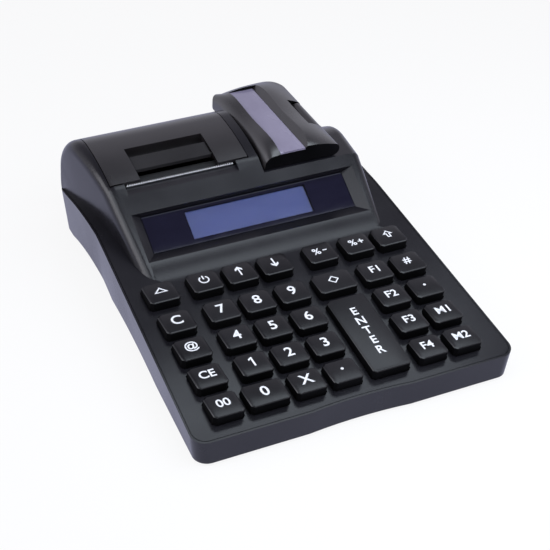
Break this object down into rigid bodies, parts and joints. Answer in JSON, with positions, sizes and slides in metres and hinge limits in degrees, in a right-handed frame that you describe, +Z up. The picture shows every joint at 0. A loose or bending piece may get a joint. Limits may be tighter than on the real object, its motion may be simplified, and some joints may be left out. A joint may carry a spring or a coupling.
{
  "type": "ticket register",
  "caption": "Compact ticket register with a sloping keyboard, a display under a tinted window, a thermal printer under a lift-up door and a hinged customer display.",
  "frame": {"origin": "on the table, under the middle of the machine", "axes": "+X to the machine's right, +Y to its back, +Z up"},
  "size_m": [0.1696, 0.2134, 0.0623],
  "materials": {
    "case_plastic": "fine satin grain",
    "key_plastic": "satin",
    "dark_rubber": "matt",
    "green_board": "satin",
    "dark_window": "gloss, tinted",
    "clear_window": "gloss, lightly tinted",
    "display_glass": "semi gloss",
    "sheet_steel": "plated",
    "head_aluminium": "satin",
    "bright_steel": "bright",
    "motor_steel": "satin",
    "gear_brass": "satin",
    "roller_rubber": "matt",
    "tub_plastic": "satin",
    "foot_rubber": "matt",
    "screw_steel": "blackened",
    "socket_plastic": "semi gloss",
    "legend_ink": "printed"
  },
  "bodies": {
    "case": {"lower_case": "case_plastic", "upper_case": "case_plastic", "keypad_mat": "dark_rubber", "main_board": "green_board", "display_lens": "dark_window", "operator_display": "display_glass", "printer_chassis": "sheet_steel", "print_head": "head_aluminium", "tear_bar": "bright_steel", "feed_motor": "motor_steel", "paper_bay": "tub_plastic", "door_hinge_pin": "bright_steel", "display_hinge": "case_plastic", "display_hinge_pin": "bright_steel", "rubber_feet": "foot_rubber", "case_screws": "screw_steel", "drawer_port": "socket_plastic", "power_jack": "socket_plastic"},
    "door": {"printer_door": "case_plastic"},
    "lever": {"door_lever": "case_plastic"},
    "platen": {"platen_shaft": "bright_steel", "platen_roller": "roller_rubber"},
    "pinion": {"motor_pinion": "gear_brass"},
    "customer_display": {"customer_display_shell": "case_plastic", "customer_display_cover": "case_plastic", "customer_lens": "clear_window", "customer_lcd": "display_glass"},
    "key_feed_cap": {"key_feed": "key_plastic"},
    "key_power_cap": {"key_power": "key_plastic"},
    "key_up_cap": {"key_up": "key_plastic"},
    "key_down_cap": {"key_down": "key_plastic"},
    "key_percent_minus_cap": {"key_percent_minus": "key_plastic"},
    "key_percent_plus_cap": {"key_percent_plus": "key_plastic"},
    "key_shift_cap": {"key_shift": "key_plastic"},
    "key_clear_cap": {"key_clear": "key_plastic"},
    "key_seven_cap": {"key_seven": "key_plastic"},
    "key_eight_cap": {"key_eight": "key_plastic"},
    "key_nine_cap": {"key_nine": "key_plastic"},
    "key_subtotal_cap": {"key_subtotal": "key_plastic"},
    "key_group_one_cap": {"key_group_one": "key_plastic"},
    "key_code_cap": {"key_code": "key_plastic"},
    "key_price_cap": {"key_price": "key_plastic"},
    "key_four_cap": {"key_four": "key_plastic"},
    "key_five_cap": {"key_five": "key_plastic"},
    "key_six_cap": {"key_six": "key_plastic"},
    "key_group_two_cap": {"key_group_two": "key_plastic"},
    "key_dot_right_cap": {"key_dot_right": "key_plastic"},
    "key_void_cap": {"key_void": "key_plastic"},
    "key_one_cap": {"key_one": "key_plastic"},
    "key_two_cap": {"key_two": "key_plastic"},
    "key_three_cap": {"key_three": "key_plastic"},
    "key_group_three_cap": {"key_group_three": "key_plastic"},
    "key_pay_one_cap": {"key_pay_one": "key_plastic"},
    "key_lookup_cap": {"key_lookup": "key_plastic"},
    "key_zero_cap": {"key_zero": "key_plastic"},
    "key_times_cap": {"key_times": "key_plastic"},
    "key_point_cap": {"key_point": "key_plastic"},
    "key_group_four_cap": {"key_group_four": "key_plastic"},
    "key_pay_two_cap": {"key_pay_two": "key_plastic"},
    "key_total_cap": {"key_total": "key_plastic"}
  },
  "joints": [
    {"name": "door_hinge", "type": "hinge", "parent": "case", "child": "door", "pos_m": [-0.0293, 0.09398, 0.04139], "axis": [-1, 0, 0], "range_deg": [0, 90]},
    {"name": "lever_pivot", "type": "hinge", "parent": "door", "child": "lever", "pos_m": [-0.0295, 0.05215, 0.0557], "axis": [1, 0, 0], "range_deg": [0, 30], "stiffness_Nm_per_rad": 0.04, "springref_deg": -14.32},
    {"name": "platen_spin", "type": "hinge", "parent": "door", "child": "platen", "pos_m": [-0.0294, 0.04825, 0.0476], "axis": [1, 0, 0], "continuous": true},
    {"name": "pinion_spin", "type": "hinge", "parent": "case", "child": "pinion", "pos_m": [0.0043, 0.04375, 0.03981], "axis": [1, 0, 0], "continuous": true},
    {"name": "customer_display_tilt", "type": "hinge", "parent": "case", "child": "customer_display", "pos_m": [0.055, 0.06725, 0.0542], "axis": [0, 1, 0], "range_deg": [0, 110]},
    {"name": "key_feed_press", "type": "slide", "parent": "case", "child": "key_feed_cap", "axis": [0, 0.1392, -0.9903], "range_m": [0, 0.0018], "stiffness_N_per_m": 400, "springref_m": -0.0006},
    {"name": "key_power_press", "type": "slide", "parent": "case", "child": "key_power_cap", "axis": [0, 0.1392, -0.9903], "range_m": [0, 0.0018], "stiffness_N_per_m": 400, "springref_m": -0.0006},
    {"name": "key_up_press", "type": "slide", "parent": "case", "child": "key_up_cap", "axis": [0, 0.1392, -0.9903], "range_m": [0, 0.0018], "stiffness_N_per_m": 400, "springref_m": -0.0006},
    {"name": "key_down_press", "type": "slide", "parent": "case", "child": "key_down_cap", "axis": [0, 0.1392, -0.9903], "range_m": [0, 0.0018], "stiffness_N_per_m": 400, "springref_m": -0.0006},
    {"name": "key_percent_minus_press", "type": "slide", "parent": "case", "child": "key_percent_minus_cap", "axis": [0, 0.1392, -0.9903], "range_m": [0, 0.0018], "stiffness_N_per_m": 400, "springref_m": -0.0006},
    {"name": "key_percent_plus_press", "type": "slide", "parent": "case", "child": "key_percent_plus_cap", "axis": [0, 0.1392, -0.9903], "range_m": [0, 0.0018], "stiffness_N_per_m": 400, "springref_m": -0.0006},
    {"name": "key_shift_press", "type": "slide", "parent": "case", "child": "key_shift_cap", "axis": [0, 0.1392, -0.9903], "range_m": [0, 0.0018], "stiffness_N_per_m": 400, "springref_m": -0.0006},
    {"name": "key_clear_press", "type": "slide", "parent": "case", "child": "key_clear_cap", "axis": [0, 0.1392, -0.9903], "range_m": [0, 0.0018], "stiffness_N_per_m": 400, "springref_m": -0.0006},
    {"name": "key_seven_press", "type": "slide", "parent": "case", "child": "key_seven_cap", "axis": [0, 0.1392, -0.9903], "range_m": [0, 0.0018], "stiffness_N_per_m": 400, "springref_m": -0.0006},
    {"name": "key_eight_press", "type": "slide", "parent": "case", "child": "key_eight_cap", "axis": [0, 0.1392, -0.9903], "range_m": [0, 0.0018], "stiffness_N_per_m": 400, "springref_m": -0.0006},
    {"name": "key_nine_press", "type": "slide", "parent": "case", "child": "key_nine_cap", "axis": [0, 0.1392, -0.9903], "range_m": [0, 0.0018], "stiffness_N_per_m": 400, "springref_m": -0.0006},
    {"name": "key_subtotal_press", "type": "slide", "parent": "case", "child": "key_subtotal_cap", "axis": [0, 0.1392, -0.9903], "range_m": [0, 0.0018], "stiffness_N_per_m": 400, "springref_m": -0.0006},
    {"name": "key_group_one_press", "type": "slide", "parent": "case", "child": "key_group_one_cap", "axis": [0, 0.1392, -0.9903], "range_m": [0, 0.0018], "stiffness_N_per_m": 400, "springref_m": -0.0006},
    {"name": "key_code_press", "type": "slide", "parent": "case", "child": "key_code_cap", "axis": [0, 0.1392, -0.9903], "range_m": [0, 0.0018], "stiffness_N_per_m": 400, "springref_m": -0.0006},
    {"name": "key_price_press", "type": "slide", "parent": "case", "child": "key_price_cap", "axis": [0, 0.1392, -0.9903], "range_m": [0, 0.0018], "stiffness_N_per_m": 400, "springref_m": -0.0006},
    {"name": "key_four_press", "type": "slide", "parent": "case", "child": "key_four_cap", "axis": [0, 0.1392, -0.9903], "range_m": [0, 0.0018], "stiffness_N_per_m": 400, "springref_m": -0.0006},
    {"name": "key_five_press", "type": "slide", "parent": "case", "child": "key_five_cap", "axis": [0, 0.1392, -0.9903], "range_m": [0, 0.0018], "stiffness_N_per_m": 400, "springref_m": -0.0006},
    {"name": "key_six_press", "type": "slide", "parent": "case", "child": "key_six_cap", "axis": [0, 0.1392, -0.9903], "range_m": [0, 0.0018], "stiffness_N_per_m": 400, "springref_m": -0.0006},
    {"name": "key_group_two_press", "type": "slide", "parent": "case", "child": "key_group_two_cap", "axis": [0, 0.1392, -0.9903], "range_m": [0, 0.0018], "stiffness_N_per_m": 400, "springref_m": -0.0006},
    {"name": "key_dot_right_press", "type": "slide", "parent": "case", "child": "key_dot_right_cap", "axis": [0, 0.1392, -0.9903], "range_m": [0, 0.0018], "stiffness_N_per_m": 400, "springref_m": -0.0006},
    {"name": "key_void_press", "type": "slide", "parent": "case", "child": "key_void_cap", "axis": [0, 0.1392, -0.9903], "range_m": [0, 0.0018], "stiffness_N_per_m": 400, "springref_m": -0.0006},
    {"name": "key_one_press", "type": "slide", "parent": "case", "child": "key_one_cap", "axis": [0, 0.1392, -0.9903], "range_m": [0, 0.0018], "stiffness_N_per_m": 400, "springref_m": -0.0006},
    {"name": "key_two_press", "type": "slide", "parent": "case", "child": "key_two_cap", "axis": [0, 0.1392, -0.9903], "range_m": [0, 0.0018], "stiffness_N_per_m": 400, "springref_m": -0.0006},
    {"name": "key_three_press", "type": "slide", "parent": "case", "child": "key_three_cap", "axis": [0, 0.1392, -0.9903], "range_m": [0, 0.0018], "stiffness_N_per_m": 400, "springref_m": -0.0006},
    {"name": "key_group_three_press", "type": "slide", "parent": "case", "child": "key_group_three_cap", "axis": [0, 0.1392, -0.9903], "range_m": [0, 0.0018], "stiffness_N_per_m": 400, "springref_m": -0.0006},
    {"name": "key_pay_one_press", "type": "slide", "parent": "case", "child": "key_pay_one_cap", "axis": [0, 0.1392, -0.9903], "range_m": [0, 0.0018], "stiffness_N_per_m": 400, "springref_m": -0.0006},
    {"name": "key_lookup_press", "type": "slide", "parent": "case", "child": "key_lookup_cap", "axis": [0, 0.1392, -0.9903], "range_m": [0, 0.0018], "stiffness_N_per_m": 400, "springref_m": -0.0006},
    {"name": "key_zero_press", "type": "slide", "parent": "case", "child": "key_zero_cap", "axis": [0, 0.1392, -0.9903], "range_m": [0, 0.0018], "stiffness_N_per_m": 400, "springref_m": -0.0006},
    {"name": "key_times_press", "type": "slide", "parent": "case", "child": "key_times_cap", "axis": [0, 0.1392, -0.9903], "range_m": [0, 0.0018], "stiffness_N_per_m": 400, "springref_m": -0.0006},
    {"name": "key_point_press", "type": "slide", "parent": "case", "child": "key_point_cap", "axis": [0, 0.1392, -0.9903], "range_m": [0, 0.0018], "stiffness_N_per_m": 400, "springref_m": -0.0006},
    {"name": "key_group_four_press", "type": "slide", "parent": "case", "child": "key_group_four_cap", "axis": [0, 0.1392, -0.9903], "range_m": [0, 0.0018], "stiffness_N_per_m": 400, "springref_m": -0.0006},
    {"name": "key_pay_two_press", "type": "slide", "parent": "case", "child": "key_pay_two_cap", "axis": [0, 0.1392, -0.9903], "range_m": [0, 0.0018], "stiffness_N_per_m": 400, "springref_m": -0.0006},
    {"name": "key_total_press", "type": "slide", "parent": "case", "child": "key_total_cap", "axis": [0, 0.1392, -0.9903], "range_m": [0, 0.0018], "stiffness_N_per_m": 400, "springref_m": -0.0006}
  ],
  "couplings": [
    {"joint": "pinion_spin", "follows": "platen_spin", "ratio": -1.5}
  ]
}
